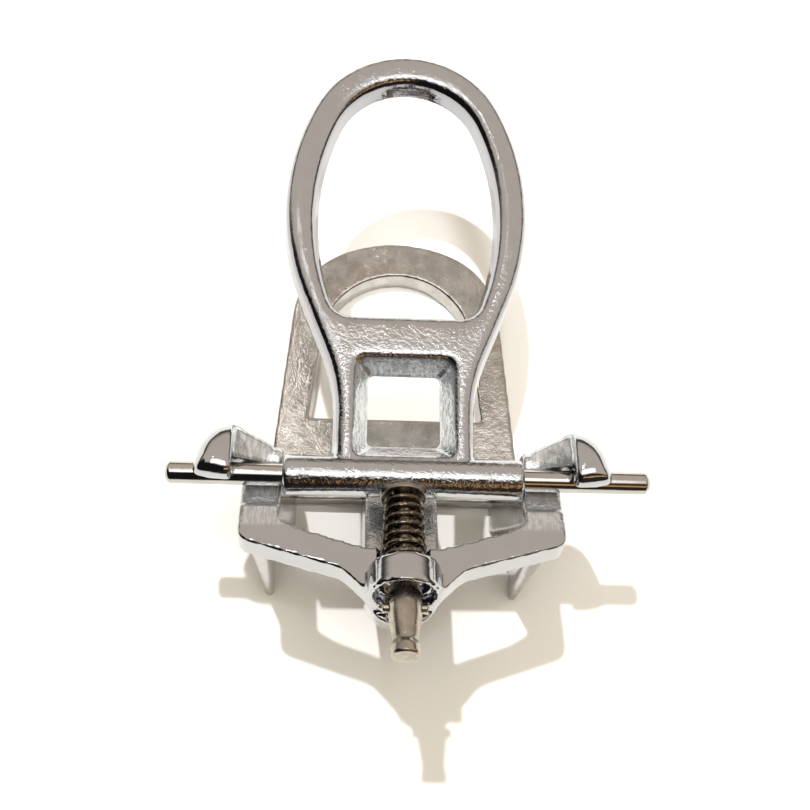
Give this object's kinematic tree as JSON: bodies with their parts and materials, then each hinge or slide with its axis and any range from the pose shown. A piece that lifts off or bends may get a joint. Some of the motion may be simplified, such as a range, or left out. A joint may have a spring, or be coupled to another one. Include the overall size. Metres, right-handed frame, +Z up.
{
  "type": "hinge articulator",
  "caption": "Chrome free-plane hinge articulator: open upper and lower bows on a clawed hinge pin, held by an inclined spring plunger with a pull knob.",
  "frame": {"origin": "on the table, straight below the middle of the hinge barrel", "axes": "+X along the hinge pin, +Y forward to the fronts of the bows, +Z up"},
  "size_m": [0.1016, 0.1415, 0.0642],
  "materials": {
    "frame_chrome": "chrome-plated casting with a slight orange peel",
    "pin_chrome": "bright plated rod",
    "turned_nickel": "turned and nickel plated",
    "spring_steel": "tempered spring wire"
  },
  "bodies": {
    "lower": {"lower_frame": "frame_chrome", "spring": "spring_steel"},
    "carriage": {"hinge_pin": "pin_chrome"},
    "upper": {"upper_bow": "frame_chrome"},
    "cup": {"spring_cup": "turned_nickel"},
    "plunger": {"plunger_rod": "spring_steel", "pull_knob": "turned_nickel", "cross_pin": "turned_nickel"}
  },
  "joints": [
    {"name": "protrusion", "type": "slide", "parent": "lower", "child": "carriage", "axis": [0, -0.9272, 0.3746], "range_m": [0, 0.004]},
    {"name": "upper_hinge", "type": "hinge", "parent": "carriage", "child": "upper", "pos_m": [0, 0, 0.0465], "axis": [1, 0, 0], "range_deg": [-22, 95]},
    {"name": "plunger_slide", "type": "slide", "parent": "lower", "child": "cup", "axis": [0, -0.9272, 0.3746], "range_m": [0, 0.004], "stiffness_N_per_m": 1500, "springref_m": -0.004, "deforming": ["spring"]},
    {"name": "knob_turn", "type": "hinge", "parent": "cup", "child": "plunger", "pos_m": [0, 0, 0.0465], "axis": [0, -0.9272, 0.3746], "continuous": true}
  ],
  "couplings": [
    {"joint": "plunger_slide", "follows": "protrusion", "ratio": 1}
  ]
}
